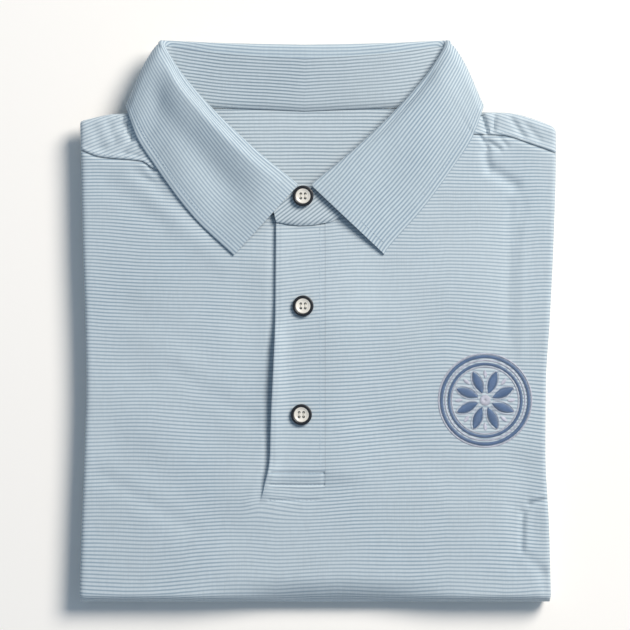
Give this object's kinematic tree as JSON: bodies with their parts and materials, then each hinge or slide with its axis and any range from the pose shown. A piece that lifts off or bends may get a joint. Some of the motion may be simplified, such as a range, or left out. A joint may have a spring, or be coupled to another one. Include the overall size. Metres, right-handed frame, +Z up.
{
  "type": "folded golf polo shirt",
  "caption": "Short-sleeved polo shirt in fine striped knit, folded flat and lying face up, with a knit collar, a buttoned placket and the sleeves folded behind.",
  "frame": {"origin": "on the surface that the folded shirt lies on, under the middle of its outline", "axes": "+X to the right of the shirt as it is seen face up, +Y from the bottom fold towards the collar, +Z up from the surface"},
  "size_m": [0.2948, 0.3474, 0.0281],
  "materials": {
    "body_cloth": "fine jersey knit, pale blue with narrow blue-grey feeder stripes about 2.2 mm apart, soft sheen",
    "placket_cloth": "the same striped jersey, interlined and edge stitched",
    "collar_cloth": "the same striped jersey, interlined, stripes along the roll, edge stitched",
    "button": "cream face with a black rim, moulded with four holes and polished",
    "embroidery": "slate-blue satin stitch thread with a silky sheen",
    "thread": "pale blue sewing thread"
  },
  "bodies": {
    "root": {"front": "body_cloth", "back_shoulders": "body_cloth", "back_layers": "body_cloth", "sleeve_left": "body_cloth", "sleeve_right": "body_cloth", "placket_under": "placket_cloth", "placket_top": "placket_cloth", "collar_stand": "collar_cloth", "collar_leaf": "collar_cloth", "button_top": "button", "button_middle": "button", "button_bottom": "button"}
  },
  "joints": []
}
